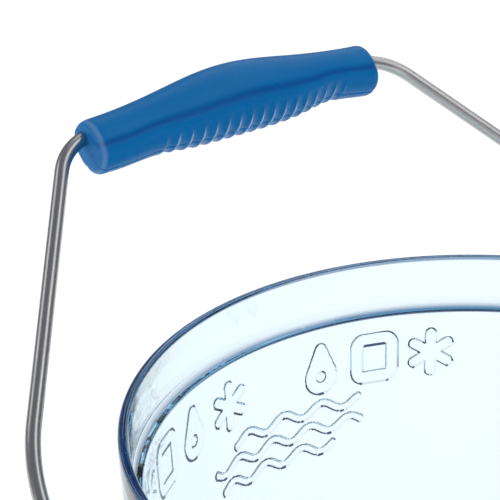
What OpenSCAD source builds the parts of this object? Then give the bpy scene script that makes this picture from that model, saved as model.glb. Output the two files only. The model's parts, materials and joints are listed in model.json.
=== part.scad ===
// Clear tote with a wire bail and a two-half hand grip.
// Millimetres, +Z up, origin at the centre of the flat underside.
// The bail pivots about a line parallel to X; at rest it leans towards -Y.

/* [Tote] */
// Height of the tote from the underside to the rim
tote_h = 400; // [300:5:450]
// Outside diameter at the rim
rim_d = 305; // [280:5:340]
// Outside diameter of the flat base, before its rounded corner
base_d = 250; // [220:5:260]
// Wall thickness
wall = 4; // [3:0.5:5]
// Depth from the rim to the stacking ledge inside
collar_h = 22; // [18:1:30]
// How far the ledge, and the shoulder outside it, step inwards
shoulder_in = 4; // [3:0.5:6]
// How far the stacking ledge inside falls
ledge_drop = 2.2; // [1.5:0.1:5]
// How far the shoulder outside falls
shoulder_drop = 2.5; // [2:0.1:6]
// How far the shoulder starts below the ledge
shoulder_below = 2.4; // [2:0.1:6]
// Height of the thickened band around the rim
band_h = 16; // [10:1:20]

/* [Ears] */
// Depth of the bail pivot below the rim
pivot_below_rim = 64.5; // [55:0.5:80]
// Distance from the tote's centre line to each ear's outer face
ear_face = 161; // [159:0.5:163]
// Width of each ear
ear_w = 34; // [28:1:40]
// Thickness of the ear's plates
ear_wall = 4; // [3:0.5:5]
// Outside radius of the bored boss in each ear
boss_r = 8; // [7:0.5:9]

/* [Bail] */
// Wire diameter
wire_d = 6; // [5:0.5:6.5]
// Distance from the tote's centre line to each straight leg
leg_x = 171; // [170:0.5:174]
// Distance from the pivot line to the wire inside the grip
bail_h = 228; // [215:1:240]
// Half the distance between the corners of the grip bar
bar_half = 87.4; // [86:0.1:92]
// Bend radius at each shoulder of the bail
shoulder_bend = 80; // [60:1:80]
// Bend radius at each end of the grip bar
corner_bend = 28; // [20:1:30]
// Bend radius at each pivot end
foot_bend = 8; // [7:0.5:8]
// Lean of the bail from upright, towards -Y
bail_lean = 50; // [0:1:130]

/* [Grip] */
// Length of the grip
grip_len = 153; // [146:1:154]
// Distance from the wire to the palm side, away from the palm swell
palm_out = 6.4; // [6.2:0.1:9]
// Height of the palm swell
palm_swell = 8.6; // [5:0.1:10]
// Distance from the wire to the finger side, away from the hollows
finger_in = 16.6; // [14:0.1:18]
// Half thickness at the ends
end_half = 10.4; // [9:0.1:11]
// Extra half thickness at the middle
mid_extra = 4.5; // [0:0.5:6]
// Depth of the finger grooves
groove_depth = 0.9; // [0.5:0.1:1.5]
// Number of finger grooves
groove_count = 16; // [10:1:16]

/* [Hidden] */
$fn = 96;
wire_r = wire_d / 2;
rim_r = rim_d / 2;
pivot_z = tote_h - pivot_below_rim;
// The wall narrows below the shoulder down to the base
shoulder_r = rim_r - 1 - shoulder_in;
shoulder_z = tote_h - collar_h - shoulder_below - shoulder_drop;
base_r = base_d / 2;
corner_r = 9;
rim_round = 1.8;
band_step = 0.5;
draft_top = 1;
floor_t = 4.5;
running_gap = 0.06;
bore_r = wire_r + running_gap;
bore_mouth = ear_face + 1.5;
bore_floor = 146;
ear_bottom = pivot_z - 22;
ear_round = 9;
bore_run = 40;
shoulder_run = leg_x - bar_half;
// Angle between each splayed leg and the bail's upright direction
splay = 33.3;
// Rise of the arc that turns each leg from upright into the splay
arc_rise = shoulder_bend * sin(splay);
arc_run = shoulder_bend * (1 - cos(splay));
splay_rise = (shoulder_run - arc_run) / tan(splay);
leg_top = bail_h - splay_rise - arc_rise;
corner_turn = 90 - splay;
corner_cut = corner_bend * tan(corner_turn / 2);
splay_len = splay_rise / cos(splay) - corner_cut;
weld_margin = 0.02;
// Grip rings
half_gap = 0.05;
channel_r = wire_r + running_gap;
// The grip sits a little towards the leg on +X
grip_at = 2.8;
grip_low = grip_at - grip_len / 2;
grip_high = grip_at + grip_len / 2;
end_round = 3.5;
// The palm edge of each end is rounded less, which keeps plastic round the wire
palm_share = 0.3;
groove_pitch = 6.3;
groove_mid = -4;
// Share of the lower half of the section, from its widest point down, that stays free of grooves
groove_rise = 0.35;
ring_points = 16;
section_power = 2.2;
end_steps = 4;
plain_step = 5;
groove_half_span = groove_count * groove_pitch / 2;
// Pegs along the split, as positions [along, from the wire]
peg_places = [[-64, -8], [-24, -9], [24, -10], [64, -10]];
peg_r = 1.8;
peg_len = 4;
peg_gap = 0.15;

// Points of an arc in a profile, centre [x, z], from angle a to angle b
function arc(x, z, r, a, b, n = 6) =
    [for (i = [0:n]) [x + r * cos(a + (b - a) * i / n), z + r * sin(a + (b - a) * i / n)]];

// One closed profile of the tote's wall and floor, revolved about Z
module tote_profile() {
    rim_top = tote_h - rim_round;
    inner_base_r = base_r - wall + 0.5;
    polygon(concat(
        [[0, 0], [base_r - corner_r, 0]],
        arc(base_r - corner_r, corner_r, corner_r, -90, -4),
        [[shoulder_r, shoulder_z]],
        [[rim_r - draft_top, shoulder_z + shoulder_drop]],
        [[rim_r - band_step - 0.3, tote_h - band_h]],
        [[rim_r - 0.3, tote_h - band_h + 0.6]],
        arc(rim_r - rim_round, rim_top, rim_round, 0, 90),
        arc(rim_r - wall + rim_round, rim_top, rim_round, 90, 180),
        [[rim_r - wall - draft_top, tote_h - collar_h]],
        [[shoulder_r - wall, tote_h - collar_h - ledge_drop]],
        arc(inner_base_r - corner_r, floor_t + corner_r, corner_r, -4, -90),
        [[0, floor_t]]
    ));
}

// Outline of an ear seen along X, with its lower corners rounded
module ear_outline() {
    low = ear_bottom - pivot_z;
    high = shoulder_z + 1 - pivot_z;
    half = ear_w / 2;
    translate([-half, low + ear_round]) square([ear_w, high - low - ear_round]);
    translate([-half + ear_round, low]) square([ear_w - 2 * ear_round, ear_round + 1]);
    for (side = [-1, 1]) {
        translate([side * (half - ear_round), low + ear_round]) circle(r = ear_round);
    }
}

// Pocket that cores the ear out from below
module ear_pocket() {
    low = ear_bottom - pivot_z;
    high = shoulder_z + 1 - pivot_z;
    half = ear_w / 2 - ear_wall;
    translate([-half, low - 1]) square([2 * half, high - low + 1 - ear_wall]);
}

// Stands a drawing made in the YZ plane up at the pivot, running out along +X from x0 to x1
module along_x(x0, x1) {
    translate([x0, 0, pivot_z])
        rotate([90, 0, 90])
        linear_extrude(x1 - x0)
        children();
}

// A box-shaped ear, open below, that carries the bore for the wire's end on +X
module ear() {
    root = base_r;
    difference() {
        along_x(root, ear_face) ear_outline();
        along_x(root - 1, ear_face - ear_wall) ear_pocket();
    }
    along_x(root, bore_mouth) circle(r = boss_r);
}

module tote_body() {
    color("lightblue")
    difference() {
        union() {
            difference() {
                union() {
                    for (turn = [0, 180]) {
                        rotate([0, 0, turn]) ear();
                    }
                }
                inner_space();
            }
            rotate_extrude() tote_profile();
        }
        for (turn = [0, 180]) {
            rotate([0, 0, turn])
                translate([bore_floor, 0, pivot_z])
                rotate([0, 90, 0])
                cylinder(r = bore_r, h = bore_run);
        }
    }
}

// The space inside the wall's mid-surface, which the ears must stay out of
module inner_space() {
    half_wall = wall / 2;
    translate([0, 0, corner_r])
        cylinder(r1 = base_r - half_wall, r2 = shoulder_r - half_wall, h = shoulder_z - corner_r + 5);
}

// A bend of the wire in the XZ plane: starts at the origin heading along +Z, turns towards -X
module bend(radius, turn, r = wire_r) {
    translate([-radius, 0, 0])
        rotate([90, 0, 0])
        rotate_extrude(angle = turn)
        translate([radius, 0])
        circle(r = r, $fn = 48);
}

// A ball a hair wider than the wire, which welds two stretches of it together
module joint_ball() {
    sphere(r = wire_r + weld_margin, $fn = 48);
}

// Half of the bail on +X, from the pivot end to the end of the grip bar
module half_bail() {
    // Foot: the end turned in to the ear
    foot_len = leg_x - foot_bend - bore_floor - 1;
    translate([leg_x - foot_bend - foot_len, 0, 0])
        rotate([0, 90, 0])
        cylinder(r = wire_r, h = foot_len, $fn = 48);
    translate([leg_x, 0, foot_bend])
        mirror([0, 0, 1])
        bend(foot_bend, 90);
    // Straight leg, shoulder and splayed leg
    translate([leg_x, 0, foot_bend])
        cylinder(r = wire_r, h = leg_top - foot_bend, $fn = 48);
    translate([leg_x, 0, leg_top]) {
        bend(shoulder_bend, splay);
        translate([-arc_run, 0, arc_rise])
            rotate([0, -splay, 0]) {
                joint_ball();
                cylinder(r = wire_r, h = splay_len, $fn = 48);
                translate([0, 0, splay_len]) bend(corner_bend, corner_turn);
            }
    }
    translate([bar_half - corner_cut, 0, bail_h]) joint_ball();
}

// Carries the bail's own upright frame to its rest pose on the tote
module on_bail() {
    translate([0, 0, pivot_z])
        rotate([bail_lean, 0, 0])
        children();
}

module bail_wire() {
    color("silver")
    on_bail() {
        half_bail();
        mirror([1, 0, 0]) half_bail();
        // Bar inside the grip
        translate([corner_cut - bar_half, 0, bail_h])
            rotate([0, 90, 0])
            cylinder(r = wire_r, h = 2 * (bar_half - corner_cut), $fn = 48);
    }
}

// Palm side, finger side and half thickness of the grip at a distance s from its middle
function bell(s, at, width) = exp(-pow((s - at) / width, 2));
function palm(s) = palm_out - 0.015 * s + palm_swell * bell(s, 3.5, 45);
function finger(s) = finger_in + 0.01 * s - 1.6 * bell(s, 48, 14) - 3.4 * bell(s, -50, 17);
function thick(s) = end_half + mid_extra * bell(s, 0, 45);
// Inset of the rounded ends
function inset(s) = let(e = grip_len / 2 - abs(s - grip_at))
    e >= end_round ? 0 : end_round - sqrt(max(0, pow(end_round, 2) - pow(end_round - e, 2)));
function signed_pow(v, p) = sign(v) * pow(abs(v), p);
// Ring of half a section, from the palm side round to the finger side, on side +1 or -1 of the split
function ring(s, side, groove) =
    let(up = palm(s) - palm_share * inset(s), down = finger(s) - inset(s), out = thick(s) - inset(s))
    let(mid = (up - down) / 2, tall = (up + down) / 2)
    [for (i = [0:ring_points])
        let(t = 180 * i / ring_points)
        let(cut = groove * max(0, -cos(t) - groove_rise) / (1 - groove_rise))
        [s, side * (half_gap + (out - cut) * signed_pow(sin(t), 2 / section_power)),
            mid + (tall - cut) * signed_pow(cos(t), 2 / section_power)]];
// Stations along the grip with the depth of the groove there
first_groove = groove_mid - groove_half_span;
last_groove = groove_mid + groove_half_span;
stations = concat(
    [for (i = [0:end_steps]) [grip_low + end_round * (1 - cos(90 * i / end_steps)), 0]],
    [for (s = [grip_low + end_round + plain_step:plain_step:first_groove - 2]) [s, 0]],
    [for (i = [0:2 * groove_count]) [first_groove + i * groove_pitch / 2, (i % 2) * groove_depth]],
    [for (s = [last_groove + plain_step:plain_step:grip_high - end_round - 2]) [s, 0]],
    [for (i = [end_steps:-1:0]) [grip_high - end_round * (1 - cos(90 * i / end_steps)), 0]]
);

// One half of the grip as a closed skin over its rings
module grip_half(side) {
    n = ring_points + 1;
    m = len(stations);
    points = [for (st = stations) each ring(st[0], side, st[1])];
    skin = [for (k = [0:m - 2], i = [0:n - 1])
        let(j = (i + 1) % n)
        side > 0 ? [k * n + i, k * n + j, (k + 1) * n + j, (k + 1) * n + i]
                 : [k * n + j, k * n + i, (k + 1) * n + i, (k + 1) * n + j]];
    low_cap = [for (i = [0:n - 1]) side > 0 ? n - 1 - i : i];
    high_cap = [for (i = [0:n - 1]) (m - 1) * n + (side > 0 ? i : n - 1 - i)];
    polyhedron(points = points, faces = concat(skin, [low_cap, high_cap]), convexity = 6);
}

// Locating pegs on the front half, which fit sockets in the rear half
module pegs(radius, length) {
    for (place = peg_places) {
        translate([place[0], -half_gap - 1, place[1]])
            rotate([-90, 0, 0])
            cylinder(r = radius, h = length + 1, $fn = 24);
    }
}

// The space round the wire: straight in the middle, and following the corner bends out of both ends
module wire_channel() {
    straight = bar_half - corner_cut;
    translate([-straight - weld_margin, 0, 0])
        rotate([0, 90, 0])
        cylinder(r = channel_r, h = 2 * (straight + weld_margin), $fn = 48);
    for (side = [0, 1]) {
        mirror([side, 0, 0])
            translate([straight, 0, 0])
            mirror([0, 0, 1])
            rotate([0, 90, 0])
            bend(corner_bend, corner_turn, channel_r);
    }
}

module grip_front_half() {
    color("royalblue")
    on_bail()
        translate([0, 0, bail_h]) {
            difference() {
                grip_half(-1);
                wire_channel();
            }
            pegs(peg_r, peg_len);
        }
}

module grip_rear_half() {
    color("mediumblue")
    on_bail()
        translate([0, 0, bail_h])
        difference() {
            grip_half(1);
            wire_channel();
            pegs(peg_r + peg_gap, peg_len + peg_gap);
        }
}

tote_body();
bail_wire();
grip_front_half();
grip_rear_half();
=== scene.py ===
"""Looks of the clear tote with its wire bail and moulded grip. Metres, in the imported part's frame."""
import math

import bpy
import numpy as np
from mathutils import Matrix, Vector
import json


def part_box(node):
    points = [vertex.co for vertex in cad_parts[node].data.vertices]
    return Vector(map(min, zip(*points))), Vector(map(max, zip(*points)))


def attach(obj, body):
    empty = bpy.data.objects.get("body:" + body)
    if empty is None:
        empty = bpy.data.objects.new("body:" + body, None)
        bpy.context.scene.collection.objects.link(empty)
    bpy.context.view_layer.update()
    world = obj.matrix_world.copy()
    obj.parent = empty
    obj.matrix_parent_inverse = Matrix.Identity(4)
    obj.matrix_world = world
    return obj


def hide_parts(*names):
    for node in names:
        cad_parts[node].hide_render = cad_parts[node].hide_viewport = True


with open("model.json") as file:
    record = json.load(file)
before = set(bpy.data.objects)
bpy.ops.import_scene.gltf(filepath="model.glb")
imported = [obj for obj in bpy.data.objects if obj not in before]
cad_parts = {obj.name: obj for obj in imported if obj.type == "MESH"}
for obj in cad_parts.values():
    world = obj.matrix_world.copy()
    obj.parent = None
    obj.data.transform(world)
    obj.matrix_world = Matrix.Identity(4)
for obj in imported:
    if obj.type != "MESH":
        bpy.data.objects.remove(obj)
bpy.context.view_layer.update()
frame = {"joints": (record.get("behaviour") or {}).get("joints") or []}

MM = 0.001

# ---------------------------------------------------------------- driving sizes
HINGE = frame["joints"][0]
PIVOT = Vector(HINGE["pos_m"])
TOTE_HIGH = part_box("tote_body")[1]
TOTE_H = TOTE_HIGH.z
RIM_R = TOTE_HIGH.y
WALL = 4 * MM
BASE_R = 125 * MM
# The stacking ledge inside: its depth below the rim, how far it falls, and how far it and the shoulder
# outside step in
COLLAR_H = 22 * MM
LEDGE_DROP = 2.2 * MM
SHOULDER_IN = 4 * MM
# The shoulder outside: how far below the ledge it starts and how far it falls
SHOULDER_BELOW = 2.4 * MM
SHOULDER_DROP = 2.5 * MM
# How far the collar narrows from the rim to the shoulder
DRAFT = 1 * MM
# The rim band: its height, the step out at its foot, how far it widens above that, and the step's height
BAND_H = 16 * MM
BAND_STEP = 0.5 * MM
BAND_LIP = 0.3 * MM
BAND_SLOPE = 5 * MM
RIM_ROUND = 1.8 * MM
# Fillets: the shoulder outside, the ledge's inner edge, and the corner between the collar and the ledge
SHOULDER_FILLET = 1 * MM
LEDGE_FILLET = 1.2 * MM
COLLAR_FILLET = 3 * MM
CORNER_R = 9 * MM
FLOOR_T = 4.5 * MM
# How much thinner the wall is at its base
BASE_THINNER = 0.5 * MM
SHOULDER_R = RIM_R - DRAFT - SHOULDER_IN
SHOULDER_Z = TOTE_H - COLLAR_H - SHOULDER_BELOW - SHOULDER_DROP

EAR_FACE = 161 * MM
EAR_W = 34 * MM
EAR_WALL = 4 * MM
EAR_ROUND = 9 * MM
EAR_DROP = 22 * MM
BOSS_R = 8 * MM
BOSS_PROUD = 1.5 * MM
BORE_R = 3.06 * MM
BORE_FLOOR = 146 * MM
# Where the ear's solid starts inside the wall, and how far it reaches above the shoulder
EAR_ROOT = 143 * MM
EAR_OVER = 2 * MM
# How far a cutting tool runs past what it cuts
PAST_ROOT = 2 * MM
PAST_BOTTOM = 5 * MM
PAST_FACE = 20 * MM

WIRE_R = 3 * MM
LEG_X = 171 * MM
BAIL_H = 228 * MM
BAR_HALF = 87.4 * MM
SHOULDER_BEND = 80 * MM
CORNER_BEND = 28 * MM
FOOT_BEND = 8 * MM
SPLAY = math.radians(33.3)
LEAN = math.radians(50)

GRIP_LEN = 153 * MM
GRIP_AT = 2.8 * MM


# ---------------------------------------------------------------- mesh helpers
def mesh_object(name, verts, faces, smooth_angle=40):
    """A mesh object in the row frame, smooth except over edges sharper than smooth_angle degrees."""
    mesh = bpy.data.meshes.new(name)
    mesh.from_pydata([tuple(v) for v in verts], [], [tuple(f) for f in faces])
    mesh.validate()
    mesh.update()
    mesh.shade_smooth()
    mesh.set_sharp_from_angle(angle=math.radians(smooth_angle))
    obj = bpy.data.objects.new(name, mesh)
    bpy.context.scene.collection.objects.link(obj)
    return obj


def store_points(obj, name, values):
    """Stores one number for each point of the mesh under a name that a material can read."""
    layer = obj.data.attributes.new(name, "FLOAT", "POINT")
    layer.data.foreach_set("value", np.asarray(values, np.float32).ravel())


def grid_faces(rows, cols, wrap=True):
    """Quads over a grid of rows by cols points, joined round where wrap is set."""
    last = cols if wrap else cols - 1
    i, j = np.meshgrid(np.arange(rows - 1), np.arange(last), indexing="ij")
    k = (j + 1) % cols
    quads = np.stack([i * cols + j, i * cols + k, (i + 1) * cols + k, (i + 1) * cols + j], -1)
    return quads.reshape(-1, 4).tolist()


def spread(a, b, step):
    """Evenly spaced numbers from a to b, no further apart than step, without the last."""
    n = max(1, math.ceil(abs(b - a) / step))
    return [a + (b - a) * i / n for i in range(n)]


def arc_points(x, z, r, a, b, n):
    """Points of an arc in a profile, angles in degrees, without the last."""
    angles = np.radians(np.linspace(a, b, n, endpoint=False))
    return [(x + r * math.cos(t), z + r * math.sin(t)) for t in angles]


def fillet(before, corner, after, r, n=6):
    """Points that round a corner of a profile with radius r."""
    a = (Vector(before) - Vector(corner)).normalized()
    b = (Vector(after) - Vector(corner)).normalized()
    half = a.angle(b) / 2
    reach = r / math.tan(half)
    p, q = Vector(corner) + a * reach, Vector(corner) + b * reach
    centre = Vector(corner) + (a + b).normalized() * (r / math.sin(half))
    turn = math.pi - 2 * half
    u, v = (p - centre).normalized(), (q - centre).normalized()
    shares = [(math.sin(turn * (1 - k / n)) / math.sin(turn), math.sin(turn * k / n) / math.sin(turn))
              for k in range(n + 1)]
    return [tuple(centre + (u * f + v * g) * r) for f, g in shares]


def line_points(p, q, step):
    """Points of a straight stretch of a profile, no further apart than step, without the last."""
    n = max(1, math.ceil(math.dist(p, q) / step))
    return [(p[0] + (q[0] - p[0]) * i / n, p[1] + (q[1] - p[1]) * i / n) for i in range(n)]


# ---------------------------------------------------------------- raised marks on the tote
MARK_TALL = 25 * MM
STROKE = 6 * MM
MARK_TOP = TOTE_H - 34.5 * MM
MARK_MID = MARK_TOP - MARK_TALL / 2
MARK_PITCH = math.radians(10.9)
MARK_FIRST = math.radians(-31.7)
MARK_RELIEF = 1.1 * MM
MARK_EDGE = 1.2 * MM
# From a mark's middle to the middle of its outermost stroke
MARK_REACH = MARK_TALL / 2 - STROKE / 2
FLAKE_HALF = STROKE * 0.42
CUBE_NARROW = 0.94
CUBE_CORNER = 3.5 * MM
DROP_LOW = -4.2 * MM
DROP_R = 5.6 * MM
LABEL_LOW = TOTE_H - 94 * MM
LABEL_HIGH = MARK_TOP + 1.5 * MM
LABEL_FROM = math.radians(-38)
LABEL_TO = math.radians(48)
LABEL_STEP = 0.5 * MM
# The three waves: how far each runs below the rim, half its length, and its shift along the wall
WAVES = [(67 * MM, 36 * MM, -4 * MM), (77 * MM, 44 * MM, 3 * MM), (87 * MM, 34 * MM, 8 * MM)]
WAVES_AT = math.radians(-2)
WAVE_SWING = 2.4 * MM
WAVE_PITCH = 22 * MM
WAVE_HALF = 1.7 * MM
# Any distance that is far outside every mark
FAR = 1.0
# How many fine columns make one coarse column outside the rows that carry marks
FINE_PER_COARSE = 4
COARSE_COLUMN = math.radians(2)


def bar_distance(x, z, x0, z0, x1, z1, half):
    """Signed distance to a bar with round ends."""
    dx, dz = x1 - x0, z1 - z0
    t = np.clip(((x - x0) * dx + (z - z0) * dz) / (dx * dx + dz * dz), 0, 1)
    return np.hypot(x - x0 - t * dx, z - z0 - t * dz) - half


def frame_distance(x, z, half_w, half_h, corner, half):
    """Signed distance to the outline stroke of a rounded rectangle."""
    qx = np.abs(x) - half_w + corner
    qz = np.abs(z) - half_h + corner
    outside = np.hypot(np.maximum(qx, 0), np.maximum(qz, 0))
    inside = np.minimum(np.maximum(qx, qz), 0)
    return np.abs(outside + inside - corner) - half


def flake(x, z):
    """Six-armed frost star."""
    ends = [(MARK_REACH * math.sin(a), MARK_REACH * math.cos(a)) for a in np.radians([0, 60, 120])]
    arms = [bar_distance(x, z, -across, -up, across, up, FLAKE_HALF) for across, up in ends]
    return np.minimum.reduce(arms)


def cube(x, z):
    """Outline of an ice cube."""
    return frame_distance(x, z, MARK_REACH * CUBE_NARROW, MARK_REACH, CUBE_CORNER, STROKE / 2)


def drop(x, z):
    """Outline of a water drop."""
    ring = np.abs(np.hypot(x, z - DROP_LOW) - DROP_R) - STROKE / 2
    side = math.asin(DROP_R / (MARK_REACH - DROP_LOW))
    cx, cz = DROP_R * math.cos(side), DROP_LOW + DROP_R * math.sin(side)
    left = bar_distance(x, z, -cx, cz, 0, MARK_REACH, STROKE / 2)
    right = bar_distance(x, z, cx, cz, 0, MARK_REACH, STROKE / 2)
    return np.minimum.reduce([ring, left, right])


MARKS = [flake, cube, drop, None, flake, drop, cube, flake]


def wave(x, z, mid, half_len):
    """Signed distance to a wavy bar of water."""
    k = 2 * math.pi / WAVE_PITCH
    inside = np.clip(x, -half_len, half_len)
    line = mid + WAVE_SWING * np.sin(k * inside)
    slope = WAVE_SWING * k * np.cos(k * inside)
    across = np.abs(z - line) / np.sqrt(1 + slope**2)
    past = np.abs(x - inside)
    return np.hypot(across, past) - WAVE_HALF


def relief(azimuth, z, radius):
    """Height of the raised marks at points of the outer wall, azimuth from -Y towards +X."""
    best = np.full(np.shape(z), FAR)
    for i, mark in enumerate(MARKS):
        if mark is None:
            continue
        x = (azimuth - MARK_FIRST - i * MARK_PITCH) * radius
        best = np.minimum(best, mark(x, z - MARK_MID))
    x = (azimuth - WAVES_AT) * radius
    for below, reach, shift in WAVES:
        best = np.minimum(best, wave(x - shift, z, TOTE_H - below, reach))
    t = np.clip(0.5 - best / MARK_EDGE, 0, 1)
    return MARK_RELIEF * t * t * (3 - 2 * t)


# ---------------------------------------------------------------- tote
# How far the painted shade of the outer shoulder spills past it
EDGE_SPILL = 0.3 * MM
# Heights between which the inner wall takes the painted blue shade of the stacking ledge
LEDGE_LOW = TOTE_H - COLLAR_H - LEDGE_DROP - 0.5 * MM
LEDGE_HIGH = TOTE_H - COLLAR_H - LEDGE_DROP + 0.7 * MM
# Edges of the tote sharper than this many degrees stay sharp
TOTE_SMOOTH = 32
# The corner arcs at the wall's foot stop this many degrees short of upright, where the taper takes over
TAPER_TURN = 4
# Longest stretch without a point on the plain wall, on the rim band and on the rim's top
LONG_STEP = 30 * MM
BAND_SPACING = 2 * MM
RIM_SPACING = 0.6 * MM
# Radii of the small rings that close the base and the floor
HUB_R = 8 * MM
PIN_R = 0.5 * MM
# Points in the rounding of the wall's lower corners, the rim's edges and the ears, and round boss and bore
CORNER_POINTS = 8
RIM_POINTS = 5
EAR_POINTS = 8
BOSS_POINTS = 48
BORE_POINTS = 40


def foot_of_wall(radius, z):
    """End of the corner arc at a wall's foot, for an arc that would reach out to radius and down to z."""
    turn = math.radians(TAPER_TURN)
    return (radius + CORNER_R * (math.cos(turn) - 1), z + CORNER_R * (1 - math.sin(turn)))


def tote_profile():
    """(radius, height) round the wall, from the middle of the underside to the middle of the floor."""
    rim_top = TOTE_H - RIM_ROUND
    inner_base = BASE_R - WALL + BASE_THINNER
    outer_foot = foot_of_wall(BASE_R, 0)
    shoulder = (SHOULDER_R, SHOULDER_Z)
    collar_low = (RIM_R - DRAFT, SHOULDER_Z + SHOULDER_DROP)
    band_low = (RIM_R - BAND_STEP - BAND_LIP, TOTE_H - BAND_H)
    band_edge = (RIM_R - BAND_LIP, TOTE_H - BAND_H + BAND_SLOPE)
    ledge_out = (RIM_R - WALL - DRAFT, TOTE_H - COLLAR_H)
    ledge_in = (SHOULDER_R - WALL, TOTE_H - COLLAR_H - LEDGE_DROP)
    slope = (shoulder[0] - outer_foot[0]) / (shoulder[1] - outer_foot[1])

    def on_wall(z):
        return (outer_foot[0] + slope * (z - outer_foot[1]), z)

    pts = [(PIN_R, 0)]
    pts += line_points((HUB_R, 0), (BASE_R - CORNER_R, 0), LONG_STEP)
    pts += arc_points(BASE_R - CORNER_R, CORNER_R, CORNER_R, -90, -TAPER_TURN, CORNER_POINTS)
    pts += line_points(outer_foot, on_wall(LABEL_LOW), LONG_STEP)
    pts += line_points(on_wall(LABEL_LOW), on_wall(LABEL_HIGH), LABEL_STEP)
    pts += [on_wall(LABEL_HIGH)]
    pts += fillet(on_wall(LABEL_HIGH), shoulder, collar_low, SHOULDER_FILLET)
    pts += fillet(shoulder, collar_low, band_low, SHOULDER_FILLET)
    pts += [band_low]
    pts += line_points(band_edge, (RIM_R, rim_top), BAND_SPACING)
    pts += arc_points(RIM_R - RIM_ROUND, rim_top, RIM_ROUND, 0, 90, RIM_POINTS)
    pts += line_points((RIM_R - RIM_ROUND, TOTE_H), (RIM_R - WALL + RIM_ROUND, TOTE_H), RIM_SPACING)
    pts += arc_points(RIM_R - WALL + RIM_ROUND, rim_top, RIM_ROUND, 90, 180, RIM_POINTS)
    pts += [(RIM_R - WALL, rim_top)]
    inner_foot = foot_of_wall(inner_base, FLOOR_T)
    pts += fillet((RIM_R - WALL, rim_top), ledge_out, ledge_in, COLLAR_FILLET)
    rounded = fillet(ledge_out, ledge_in, inner_foot, LEDGE_FILLET)
    pts += rounded[:-1]
    pts += line_points(rounded[-1], inner_foot, LONG_STEP)
    pts += arc_points(inner_base - CORNER_R, FLOOR_T + CORNER_R, CORNER_R, -TAPER_TURN, -90, CORNER_POINTS)
    pts += line_points((inner_base - CORNER_R, FLOOR_T), (HUB_R, FLOOR_T), LONG_STEP)
    pts += [(HUB_R, FLOOR_T), (PIN_R, FLOOR_T)]
    return np.array(pts)


def tote_columns():
    """Azimuths of the fine columns, from -Y towards +X, and the numbers of those that coarse rows keep."""
    span = (LABEL_TO - LABEL_FROM) * SHOULDER_R
    cells = math.ceil(span / LABEL_STEP / FINE_PER_COARSE)
    marked = spread(LABEL_FROM, LABEL_TO, (LABEL_TO - LABEL_FROM) / (cells * FINE_PER_COARSE))
    plain = spread(LABEL_TO, LABEL_FROM + 2 * math.pi, COARSE_COLUMN)
    kept = list(range(0, len(marked), FINE_PER_COARSE)) + list(range(len(marked), len(marked) + len(plain)))
    return np.array(marked + plain), kept


def band_faces(low, high, count):
    """Faces between two rings, each a dict of column number to vertex number, over count columns."""
    shared = sorted(set(low) & set(high))
    faces = []
    for a, b in zip(shared, shared[1:] + [count]):
        between = [c % count for c in range(a, b + 1)]
        under = [low[c] for c in between if c in low]
        over = [high[c] for c in between if c in high]
        faces.append(under + over[::-1])
    return faces


def tote_shell():
    """The revolved wall and floor, with raised marks on a finer patch of its outside."""
    profile = tote_profile()
    azimuth, kept = tote_columns()
    count = len(azimuth)
    top = int(np.argmax(profile[:, 1]))
    verts, rings, faces, edge, ledge = [], [], [], [], []
    for i, (r, z) in enumerate(profile):
        marked = i < top and LABEL_LOW <= z < LABEL_HIGH
        columns = range(count) if marked else kept
        a = azimuth[list(columns)]
        radius = r + (relief(a, np.full(len(a), z), SHOULDER_R) if marked else 0)
        rings.append({c: len(verts) + n for n, c in enumerate(columns)})
        verts += np.stack([radius * np.sin(a), -radius * np.cos(a), 0 * a + z], -1).tolist()
        # Painted shade: the rim's top roll and the outer shoulder are darkened in colour to stand for the
        # dark look of light passing through the thick rim
        shoulder = i < top and SHOULDER_Z - EDGE_SPILL < z < SHOULDER_Z + SHOULDER_DROP / 2
        edge += [float(z > TOTE_H - RIM_ROUND or shoulder)] * len(a)
        # Painted shade: a band of the inner wall at the stacking ledge is darkened blue, for the line that
        # light draws there through the wall
        ledge += [float(i > top and LEDGE_LOW < z < LEDGE_HIGH)] * len(a)
    for low, high in zip(rings, rings[1:]):
        faces += band_faces(low, high, count)
    faces.append(list(rings[0].values())[::-1])
    faces.append(list(rings[-1].values()))
    shell = mesh_object("tote", verts, faces, TOTE_SMOOTH)
    store_points(shell, "edge", edge)
    store_points(shell, "ledge", ledge)
    return shell


def outline_prism(name, points, x0, x1):
    """A closed prism of an outline drawn in the YZ plane, running along X."""
    n = len(points)
    verts = [(x0, y, z) for y, z in points] + [(x1, y, z) for y, z in points]
    faces = [[i, (i + 1) % n, n + (i + 1) % n, n + i] for i in range(n)]
    faces += [list(range(n))[::-1], list(range(n, 2 * n))]
    return mesh_object(name, verts, faces)


def pivot_circle(r, count):
    """Points of a circle about the pivot in the YZ plane."""
    turns = np.linspace(0, 2 * math.pi, count, endpoint=False)
    return [(r * math.cos(t), PIVOT.z + r * math.sin(t)) for t in turns]


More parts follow.
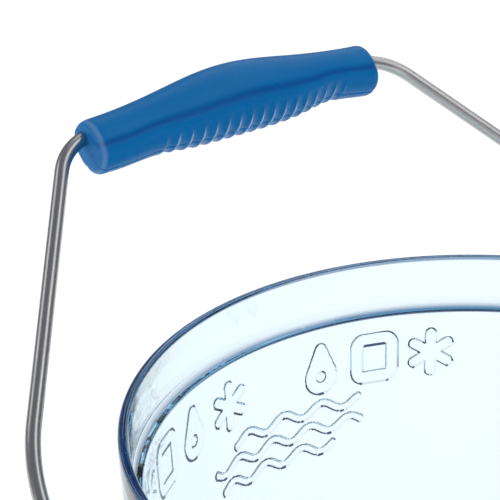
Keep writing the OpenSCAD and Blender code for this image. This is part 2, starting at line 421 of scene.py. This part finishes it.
def ear_parts(side):
    """The block, pocket, boss and bore of the ear on one side."""
    low, high = PIVOT.z - EAR_DROP, SHOULDER_Z + EAR_OVER
    half = EAR_W / 2
    c = half - EAR_ROUND
    outline = arc_points(-c, low + EAR_ROUND, EAR_ROUND, 180, 270, EAR_POINTS)
    outline += arc_points(c, low + EAR_ROUND, EAR_ROUND, 270, 360, EAR_POINTS)
    outline += [(half, low + EAR_ROUND), (half, high), (-half, high), (-half, low + EAR_ROUND)]
    inner = half - EAR_WALL
    mouth, roof = low - PAST_BOTTOM, high - EAR_WALL
    pocket = [(-inner, mouth), (inner, mouth), (inner, roof), (-inner, roof)]
    boss = pivot_circle(BOSS_R, BOSS_POINTS)
    bore = pivot_circle(BORE_R, BORE_POINTS)
    parts = [outline_prism("ear_block", outline, EAR_ROOT, EAR_FACE),
             outline_prism("ear_pocket", pocket, EAR_ROOT - PAST_ROOT, EAR_FACE - EAR_WALL),
             outline_prism("ear_boss", boss, EAR_ROOT, EAR_FACE + BOSS_PROUD),
             outline_prism("ear_bore", bore, BORE_FLOOR, EAR_FACE + PAST_FACE)]
    if side < 0:
        for p in parts:
            p.data.transform(Matrix.Rotation(math.pi, 4, "Z"))
    return parts


def boolean(target, tool, operation):
    """Applies one exact boolean and removes the tool."""
    mod = target.modifiers.new("cut", "BOOLEAN")
    mod.operation = operation
    mod.solver = "EXACT"
    mod.object = tool
    deps = bpy.context.evaluated_depsgraph_get()
    made = bpy.data.meshes.new_from_object(target.evaluated_get(deps), depsgraph=deps)
    target.modifiers.clear()
    old = target.data
    target.data = made
    bpy.data.meshes.remove(old)
    bpy.data.objects.remove(tool)


def build_tote():
    """The tote with both ears joined on and the two blind bores cut."""
    tote = tote_shell()
    for side in (1, -1):
        block, pocket, boss, bore = ear_parts(side)
        boolean(block, pocket, "DIFFERENCE")
        boolean(block, boss, "UNION")
        boolean(tote, block, "UNION")
        boolean(tote, bore, "DIFFERENCE")
    tote.data.shade_smooth()
    tote.data.set_sharp_from_angle(angle=math.radians(TOTE_SMOOTH))
    return tote


# ---------------------------------------------------------------- bail wire
WIRE_SIDES = 40
WIRE_SMOOTH = 50
# Gap between the end of the wire and the bottom of its bore
FOOT_GAP = 1 * MM
# Longest stretch of the wire without a point, at the feet, along the legs and along the bar
FOOT_SPACING = 2 * MM
LEG_SPACING = 4 * MM
BAR_SPACING = 5 * MM
FOOT_POINTS = 14
SHOULDER_POINTS = 24
BAR_CORNER_POINTS = 16
# Distance from the wire's end and share of its radius there, which rounds the cut end
WIRE_TIP = [(0, 0.6), (0.4 * MM, 0.9), (1 * MM, 1.0)]
# The streaks' texture runs this many times as far in a metre of wire as once round it
STREAKS_PER_M = 20


def bail_path():
    """(x, z) points of the upright bail's centre line, from the +X foot to the middle of the bar."""
    run = LEG_X - BAR_HALF
    arc_run = SHOULDER_BEND * (1 - math.cos(SPLAY))
    arc_rise = SHOULDER_BEND * math.sin(SPLAY)
    splay_rise = (run - arc_run) / math.tan(SPLAY)
    leg_top = BAIL_H - splay_rise - arc_rise
    turn = math.pi / 2 - SPLAY
    cut = CORNER_BEND * math.tan(turn / 2)
    pts = line_points((BORE_FLOOR + FOOT_GAP, 0), (LEG_X - FOOT_BEND, 0), FOOT_SPACING)
    pts += arc_points(LEG_X - FOOT_BEND, FOOT_BEND, FOOT_BEND, -90, 0, FOOT_POINTS)
    pts += line_points((LEG_X, FOOT_BEND), (LEG_X, leg_top), LEG_SPACING)
    splay_deg = math.degrees(SPLAY)
    pts += arc_points(LEG_X - SHOULDER_BEND, leg_top, SHOULDER_BEND, 0, splay_deg, SHOULDER_POINTS)
    start = Vector((LEG_X - arc_run, leg_top + arc_rise))
    along = Vector((-math.sin(SPLAY), math.cos(SPLAY)))
    length = splay_rise / math.cos(SPLAY) - cut
    end = start + along * length
    pts += line_points(start, end, LEG_SPACING)
    centre = end + Vector((-math.cos(SPLAY), -math.sin(SPLAY))) * CORNER_BEND
    pts += arc_points(centre.x, centre.y, CORNER_BEND, splay_deg, 90, BAR_CORNER_POINTS)
    pts += line_points((BAR_HALF - cut, BAIL_H), (0, BAIL_H), BAR_SPACING)
    return pts


def lean_matrix():
    """From the bail's own upright frame, with the pivot at its origin, to rest on the tote."""
    return Matrix.Translation(PIVOT) @ Matrix.Rotation(LEAN, 4, "X")


def build_wire():
    """The bent wire as a tube round its centre line, leaned to rest, with a UV map that runs along it."""
    sides = WIRE_SIDES
    half = bail_path()
    line = half + [(0, BAIL_H)] + [(-x, z) for x, z in half[::-1]]
    line = np.array(line)
    tangent = np.gradient(line, axis=0)
    tangent /= np.linalg.norm(tangent, axis=1)[:, None]
    across = np.stack([tangent[:, 1], -tangent[:, 0]], -1)
    around = np.linspace(0, 2 * math.pi, sides, endpoint=False)
    length = np.concatenate([[0], np.cumsum(np.linalg.norm(np.diff(line, axis=0), axis=1))])
    total = length[-1]
    from_end = np.minimum(length, total - length)
    radius = WIRE_R * np.interp(from_end, *zip(*WIRE_TIP))
    x = line[:, 0:1] + radius[:, None] * np.cos(around) * across[:, 0:1]
    z = line[:, 1:2] + radius[:, None] * np.cos(around) * across[:, 1:2]
    y = radius[:, None] * np.sin(around) + 0 * x
    verts = np.stack([x, y, z], -1).reshape(-1, 3)
    rows = len(line)
    faces = grid_faces(rows, sides)
    faces.append(list(range(sides))[::-1])
    faces.append([(rows - 1) * sides + i for i in range(sides)])
    wire = mesh_object("bail", verts, faces, WIRE_SMOOTH)
    uv = wire.data.uv_layers.new(name="along")
    loop_vert = np.zeros(len(wire.data.loops), np.int32)
    wire.data.loops.foreach_get("vertex_index", loop_vert)
    row, col = loop_vert // sides, loop_vert % sides
    pair = np.stack([length[row] * STREAKS_PER_M, col / sides], -1)
    uv.data.foreach_set("uv", pair.astype(np.float32).ravel())
    wire.data.transform(lean_matrix())
    return wire


# ---------------------------------------------------------------- grip
GROOVE_COUNT = 16
GROOVE_PITCH = 6.3 * MM
GROOVE_MID = -4 * MM
GROOVE_DEPTH = 0.9 * MM
# The grooves fade in over this length at each end of their row; a smaller power makes them fuller
GROOVE_FADE = 0.3 * MM
GROOVE_POWER = 0.75
# Plain sizes of the grip at its middle and how they change along it, then where it swells or draws in:
# by how much, at what distance from its middle, and over what width
PALM = 6.4 * MM
PALM_SLOPE = 0.015
PALM_SWELL = (8.6 * MM, 3.5 * MM, 45 * MM)
FINGER = 16.6 * MM
FINGER_SLOPE = 0.01
FINGER_DIPS = [(1.6 * MM, 48 * MM, 14 * MM), (3.4 * MM, -50 * MM, 17 * MM)]
THICK = 10.4 * MM
THICK_SWELL = (4.5 * MM, 0, 45 * MM)
SECTION_POWER = 2.2
END_ROUND = 3.5 * MM
PALM_SHARE = 0.3
# How strongly a painted highlight lightens the rounded edges of the two ends, how far in, and how wide
END_HIGHLIGHT = 0.13
END_HIGHLIGHT_AT = 1.2 * MM
END_HIGHLIGHT_HALF = 0.8 * MM
# The grooves start where the section faces this share of straight down, and are full at the second
GROOVE_START = 0.72
GROOVE_FULL = 0.95
CREASE_AT = math.radians(112)
CREASE_HALF = math.radians(7)
CREASE_DEPTH = 0.45 * MM
SEAM_GAP = 0.05 * MM
SEAM_CHAMFER = 0.3 * MM
CHANNEL_R = 3.06 * MM
# Longest stretch without a section on the plain ends, sections in each groove, and the plain margin between
PLAIN_SPACING = 1.5 * MM
GROOVE_SECTIONS = 18
GROOVE_MARGIN = 1 * MM
END_SECTIONS = 9
SECTION_POINTS = 57
CHANNEL_POINTS = 13
GRIP_SMOOTH = 45
# Powers that narrow the painted highlight lines to the very ridges, along the grip and round it
CREST_POWER = 12
CREST_ROUND_POWER = 3


def swell(s, size, at, width):
    """A smooth bump of a given size, at one place along the grip."""
    return size * np.exp(-(((s - at) / width) ** 2))


def grip_sizes(s):
    """Palm side, finger side and half thickness of the grip at a distance s from its middle."""
    palm = PALM - PALM_SLOPE * s + swell(s, *PALM_SWELL)
    finger = FINGER + FINGER_SLOPE * s
    for dip in FINGER_DIPS:
        finger = finger - swell(s, *dip)
    thick = THICK + swell(s, *THICK_SWELL)
    return palm, finger, thick


def scallop(s):
    """0 on the ridges between the grooves and 1 at their bottoms, and 1 where s is in their row."""
    span = GROOVE_COUNT * GROOVE_PITCH / 2
    phase = (s - GROOVE_MID + span) / GROOVE_PITCH
    inside = np.clip((span - np.abs(s - GROOVE_MID)) / GROOVE_FADE, 0, 1)
    return np.abs(np.sin(math.pi * phase)), inside


def underside(t):
    """How far round towards the finger side the section angle t lies, 0 at the palm side."""
    return np.clip((-np.cos(t) - GROOVE_START) / (GROOVE_FULL - GROOVE_START), 0, 1)


def crease(t):
    """How near the section angle t is to the crease along the side, 1 at its middle."""
    return np.exp(-(((t - CREASE_AT) / CREASE_HALF) ** 2))


def groove(s, t):
    """Depth below the plain section of the finger grooves and of the crease along the side."""
    hollow, inside = scallop(s)
    return GROOVE_DEPTH * hollow**GROOVE_POWER * inside * np.sqrt(underside(t)) + CREASE_DEPTH * crease(t)


def channel_drop(s):
    """How far the wire's centre line has bent away from the bar, and the cosine of its slope there."""
    straight = BAR_HALF - CORNER_BEND * math.tan((math.pi / 2 - SPLAY) / 2)
    past = np.maximum(0, np.abs(s) - straight)
    level = np.sqrt(CORNER_BEND**2 - past**2)
    return CORNER_BEND - level, level / CORNER_BEND


def grip_stations():
    """Where along the grip, measured from its middle, it gets a section; closer at the ends and grooves."""
    span = GROOVE_COUNT * GROOVE_PITCH / 2
    round_in = [END_ROUND * (1 - math.cos(t)) for t in np.linspace(0, math.pi / 2, END_SECTIONS)]
    low_end = [GRIP_AT - GRIP_LEN / 2 + x for x in round_in]
    high_end = [GRIP_AT + GRIP_LEN / 2 - x for x in round_in][::-1]
    low = GROOVE_MID - span - GROOVE_MARGIN
    high = GROOVE_MID + span + GROOVE_MARGIN
    middle = spread(low_end[-1], low, PLAIN_SPACING)[1:]
    middle += spread(low, high, GROOVE_PITCH / GROOVE_SECTIONS)
    middle += spread(high, high_end[0], PLAIN_SPACING)
    return np.array(low_end + middle + high_end)


def build_grip_half(name, side):
    """Half of the grip, on the side of -Y or +Y of the upright bail, with a channel for the wire."""
    s = grip_stations()
    t = np.linspace(0, math.pi, SECTION_POINTS)[1:-1]
    palm, finger, thick = grip_sizes(s)
    e = GRIP_LEN / 2 - np.abs(s - GRIP_AT)
    chord = np.sqrt(np.maximum(0, END_ROUND**2 - (END_ROUND - e) ** 2))
    inset = np.where(e < END_ROUND, END_ROUND - chord, 0)
    up, down, out = palm - PALM_SHARE * inset, finger - inset, thick - inset
    mid, tall = ((up - down) / 2)[:, None], ((up + down) / 2)[:, None]
    cut = groove(s[:, None], t[None])
    power = 2 / SECTION_POWER
    c, n = np.cos(t), np.sin(t)
    u = mid + (tall - cut) * np.sign(c) * np.abs(c) ** power
    v = (out[:, None] - cut) * n**power + SEAM_GAP
    top = up[:, None] - SEAM_CHAMFER * np.ones((1, 1))
    bottom_cut = groove(s, np.full(len(s), math.pi))[:, None]
    low = -down[:, None] + SEAM_CHAMFER + bottom_cut
    arc = np.linspace(math.pi, 0, CHANNEL_POINTS)
    fall, level = channel_drop(s)
    channel_u = CHANNEL_R * np.cos(arc)[None] / level[:, None] - fall[:, None]
    channel_v = np.maximum(CHANNEL_R * np.sin(arc), SEAM_GAP)[None] + 0 * up[:, None]
    gap = np.full_like(top, SEAM_GAP)
    u_all = np.concatenate([top, u, low, channel_u], 1)
    v_all = np.concatenate([gap, v, gap, channel_v], 1)
    s_all = s[:, None] + 0 * u_all
    verts = np.stack([s_all, side * v_all, u_all + BAIL_H], -1).reshape(-1, 3)
    rows, cols = u_all.shape
    faces = grid_faces(rows, cols)
    faces.append(list(range(cols))[::-1])
    faces.append([(rows - 1) * cols + i for i in range(cols)])
    if side > 0:
        faces = [f[::-1] for f in faces]
    half = mesh_object(name, verts, faces, GRIP_SMOOTH)
    half.data.transform(lean_matrix())
    hollow, inside = scallop(s)
    # Painted highlight: pale colour on the groove ridges and round the ends' rounded edges, standing for
    # glints of light
    painted_highlight = ((1 - hollow) ** CREST_POWER * inside)[:, None] * underside(t)[None] ** CREST_ROUND_POWER
    painted_highlight += END_HIGHLIGHT * np.exp(-(((e - END_HIGHLIGHT_AT) / END_HIGHLIGHT_HALF) ** 2))[:, None]
    paint_points(half, "painted_highlight", painted_highlight, cols)
    # Painted shade: the crease along the side is darkened in colour, besides its shallow real groove
    paint_points(half, "crease", crease(t)[None] + 0 * painted_highlight, cols)
    return half


def paint_points(obj, name, values, cols):
    """Stores values, given for the section points after the first of each row, as a point attribute."""
    whole = np.zeros((len(values), cols))
    whole[:, 1:1 + values.shape[1]] = values
    store_points(obj, name, whole)


# ---------------------------------------------------------------- materials
def new_material(name):
    """A material and its principled shader."""
    mat = bpy.data.materials.new(name)
    mat.use_nodes = True
    return mat, mat.node_tree.nodes["Principled BSDF"]


def noise(nt, vector, scale, detail=4):
    """Fractal noise from 0 to 1 over a vector."""
    node = nt.nodes.new("ShaderNodeTexNoise")
    node.inputs["Scale"].default_value = scale
    node.inputs["Detail"].default_value = detail
    nt.links.new(vector, node.inputs["Vector"])
    return node.outputs["Fac"]


def remap(nt, value, low, high, out_low, out_high):
    """A value carried from one range to another and held to it."""
    node = nt.nodes.new("ShaderNodeMapRange")
    node.inputs["From Min"].default_value = low
    node.inputs["From Max"].default_value = high
    node.inputs["To Min"].default_value = out_low
    node.inputs["To Max"].default_value = out_high
    nt.links.new(value, node.inputs["Value"])
    return node.outputs["Result"]


def object_point(nt):
    """The place on the piece, in its own coordinates."""
    return nt.nodes.new("ShaderNodeTexCoord").outputs["Object"]


def bump(nt, height, strength, distance):
    """The normal of a surface raised by a height, where a height of 1 stands for distance in metres."""
    node = nt.nodes.new("ShaderNodeBump")
    node.inputs["Strength"].default_value = strength
    node.inputs["Distance"].default_value = distance
    nt.links.new(height, node.inputs["Height"])
    return node.outputs["Normal"]


def clear_plastic():
    """Blue-tinted clear plastic, with painted shade along the rim and shoulder and a bluer painted shade
    along the stacking ledge.
    """
    mat, shader = new_material("clear_polycarbonate")
    nt = mat.node_tree
    # Painted shade: navy base colour on the rim's top roll and the outer shoulder
    colour = tinted(nt, (0.93, 0.98, 0.995, 1), (0.10, 0.17, 0.30, 1), attribute(nt, "edge"), 1)
    # Painted shade: darker blue base colour along the stacking ledge
    colour = tinted(nt, colour, (0.12, 0.42, 0.66, 1), attribute(nt, "ledge"), 1)
    nt.links.new(colour, shader.inputs["Base Color"])
    shader.inputs["Transmission Weight"].default_value = 1
    shader.inputs["IOR"].default_value = 1.58
    point = object_point(nt)
    nt.links.new(remap(nt, noise(nt, point, 60), 0.4, 0.7, 0.0, 0.03), shader.inputs["Roughness"])
    nt.links.new(bump(nt, noise(nt, point, 18, 1), 0.25, 0.0006), shader.inputs["Normal"])
    absorb = nt.nodes.new("ShaderNodeVolumeAbsorption")
    absorb.inputs["Color"].default_value = (0.22, 0.66, 0.90, 1)
    absorb.inputs["Density"].default_value = 28
    nt.links.new(absorb.outputs["Volume"], nt.nodes["Material Output"].inputs["Volume"])
    return mat


def steel():
    """Bare wire with fine drawing streaks along it."""
    mat, shader = new_material("drawn_steel")
    nt = mat.node_tree
    shader.inputs["Base Color"].default_value = (0.52, 0.51, 0.5, 1)
    shader.inputs["Metallic"].default_value = 1
    uv = nt.nodes.new("ShaderNodeUVMap")
    uv.uv_map = "along"
    stretch = nt.nodes.new("ShaderNodeMapping")
    stretch.inputs["Scale"].default_value = (1, 40, 1)
    nt.links.new(uv.outputs["UV"], stretch.inputs["Vector"])
    streaks = noise(nt, stretch.outputs["Vector"], 3, 5)
    nt.links.new(remap(nt, streaks, 0.3, 0.7, 0.22, 0.34), shader.inputs["Roughness"])
    nt.links.new(bump(nt, streaks, 0.15, 0.0001), shader.inputs["Normal"])
    return mat


def attribute(nt, name):
    """Numbers stored on the mesh by store_points."""
    node = nt.nodes.new("ShaderNodeAttribute")
    node.attribute_name = name
    return node.outputs["Fac"]


def tinted(nt, colour, other, share, strength):
    """Mixes a colour, fixed or from a socket, towards another by share times strength."""
    mix = nt.nodes.new("ShaderNodeMix")
    mix.data_type = "RGBA"
    mix.inputs["B"].default_value = other
    if isinstance(colour, tuple):
        mix.inputs["A"].default_value = colour
    else:
        nt.links.new(colour, mix.inputs["A"])
    nt.links.new(remap(nt, share, 0, 1, 0, strength), mix.inputs["Factor"])
    return mix.outputs["Result"]


def blue_plastic():
    """Satin moulded plastic: cloudy tone, painted shade in the crease, painted highlights on the ridges and
    the ends' rounded edges.
    """
    mat, shader = new_material("blue_grip")
    nt = mat.node_tree
    point = object_point(nt)
    clouds = nt.nodes.new("ShaderNodeMix")
    clouds.data_type = "RGBA"
    clouds.inputs["A"].default_value = (0.0, 0.162, 0.46, 1)
    clouds.inputs["B"].default_value = (0.0, 0.182, 0.505, 1)
    nt.links.new(noise(nt, point, 60, 3), clouds.inputs["Factor"])
    # Painted shade along the crease
    colour = tinted(nt, clouds.outputs["Result"], (0.0, 0.08, 0.34, 1), attribute(nt, "crease"), 0.8)
    # Painted highlight on the ridges and the ends' rounded edges
    colour = tinted(nt, colour, (0.85, 0.94, 1.0, 1), attribute(nt, "painted_highlight"), 1)
    nt.links.new(colour, shader.inputs["Base Color"])
    shader.inputs["Specular IOR Level"].default_value = 0.11
    nt.links.new(remap(nt, noise(nt, point, 400, 3), 0.3, 0.7, 0.26, 0.4), shader.inputs["Roughness"])
    nt.links.new(bump(nt, noise(nt, point, 1600, 2), 0.2, 0.0001), shader.inputs["Normal"])
    return mat


def floor_material():
    """Matt and nearly white, and partly bright by itself."""
    mat, shader = new_material("pale_floor")
    shader.inputs["Base Color"].default_value = (0.93, 0.93, 0.93, 1)
    shader.inputs["Roughness"].default_value = 0.9
    shader.inputs["Specular IOR Level"].default_value = 0.1
    shader.inputs["Emission Color"].default_value = (0.97, 0.99, 1.0, 1)
    shader.inputs["Emission Strength"].default_value = 0.4
    return mat


# ---------------------------------------------------------------- stage, lights, camera
CAMERA_FAR = 0.6796
CAMERA_UP = math.radians(29.6)
CAMERA_ROUND = math.radians(48.45)
CAMERA_AIM = Vector((0.0454, -0.1066, 0.4459))
LENS = 125.6
# The sky that each kind of ray meets
SKIES = [("Is Glossy Ray", (0.2, 0.21, 0.24, 1)),
         ("Is Transmission Ray", (0.03, 0.06, 0.13, 1)),
         ("Is Camera Ray", (1, 1, 1, 1))]
FLOOR_HALF = 6.0
GRIP_CENTRE = Vector((0, -0.17, 0.48))
SOFTBOX_FAR = 2.2
# Name, direction from the grip, side in metres, radiance
SOFTBOXES = [("back_top", (-0.65, -0.37, 0.66), 2.0, 0.85),
             ("near_top", (-0.25, 0.7, 0.67), 1.2, 0.7),
             ("side", (1, -0.05, 0.0), 1.3, 1.3),
             ("left_back", (0.48, -0.64, 0.6), 0.9, 1.1),
             ("right_top", (-0.5, 0.36, 0.78), 0.9, 1.3),
             ("low_front", (0.35, 0.9, 0.12), 1.2, 0.6)]


def build_camera():
    """The photograph's view: set back from the middle of the rim and turned to the aim point."""
    rim = Vector((0, 0, TOTE_H))
    flat = math.cos(CAMERA_UP)
    back = Vector((flat * math.sin(CAMERA_ROUND), flat * math.cos(CAMERA_ROUND), math.sin(CAMERA_UP)))
    data = bpy.data.cameras.new("camera")
    data.lens = LENS
    data.sensor_width = 36
    data.clip_start = 0.01
    data.clip_end = 50
    cam = bpy.data.objects.new("camera", data)
    cam.rotation_mode = "QUATERNION"
    cam.location = rim + back * CAMERA_FAR
    cam.rotation_quaternion = (CAMERA_AIM - cam.location).to_track_quat("-Z", "Y")
    bpy.context.scene.collection.objects.link(cam)
    bpy.context.scene.camera = cam


def area_light(name, place, target, size, power):
    """A white softbox that lights and reflects but isn't seen through the plastic."""
    data = bpy.data.lights.new(name, "AREA")
    data.shape = "RECTANGLE"
    data.size, data.size_y = size
    data.energy = power
    lamp = bpy.data.objects.new(name, data)
    lamp.location = place
    lamp.visible_transmission = False
    lamp.rotation_mode = "QUATERNION"
    lamp.rotation_quaternion = (Vector(target) - Vector(place)).to_track_quat("-Z", "Y")
    bpy.context.scene.collection.objects.link(lamp)


def studio_world():
    """White for the camera, even for diffuse light, grey in reflections, dark blue through the plastic."""
    world = bpy.data.worlds.new("studio")
    world.use_nodes = True
    nt = world.node_tree
    even = nt.nodes["Background"]
    even.inputs["Color"].default_value = (0.97, 0.985, 1.0, 1)
    even.inputs["Strength"].default_value = 0.5
    path = nt.nodes.new("ShaderNodeLightPath")
    shown = even.outputs["Background"]
    for ray, colour in SKIES:
        sky = nt.nodes.new("ShaderNodeBackground")
        sky.inputs["Color"].default_value = colour
        mix = nt.nodes.new("ShaderNodeMixShader")
        nt.links.new(path.outputs[ray], mix.inputs["Fac"])
        nt.links.new(shown, mix.inputs[1])
        nt.links.new(sky.outputs["Background"], mix.inputs[2])
        shown = mix.outputs["Shader"]
    nt.links.new(shown, nt.nodes["World Output"].inputs["Surface"])
    return world


def build_stage():
    """Floor, world and softboxes."""
    half = FLOOR_HALF
    corners = [(-half, -half, 0), (half, -half, 0), (half, half, 0), (-half, half, 0)]
    floor = mesh_object("floor", corners, [[0, 1, 2, 3]])
    floor.data.materials.append(floor_material())
    bpy.context.scene.world = studio_world()
    for name, toward, size, radiance in SOFTBOXES:
        place = GRIP_CENTRE + Vector(toward).normalized() * SOFTBOX_FAR
        area_light(name, place, GRIP_CENTRE, (size, size), radiance * math.pi * size * size)
    bpy.context.scene.view_settings.view_transform = "Standard"


# ---------------------------------------------------------------- build
def dress(obj, material, body, node):
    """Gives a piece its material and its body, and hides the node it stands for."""
    obj.data.materials.clear()
    obj.data.materials.append(material)
    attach(obj, body)
    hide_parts(node)


blue = blue_plastic()
dress(build_tote(), clear_plastic(), "tote", "tote_body")
dress(build_wire(), steel(), "bail", "bail_wire")
dress(build_grip_half("grip_front", -1), blue, "bail", "grip_front_half")
dress(build_grip_half("grip_rear", 1), blue, "bail", "grip_rear_half")
build_stage()
build_camera()
bpy.context.scene.cycles.max_bounces = 24
bpy.context.scene.cycles.transmission_bounces = 24
bpy.context.scene.cycles.glossy_bounces = 12
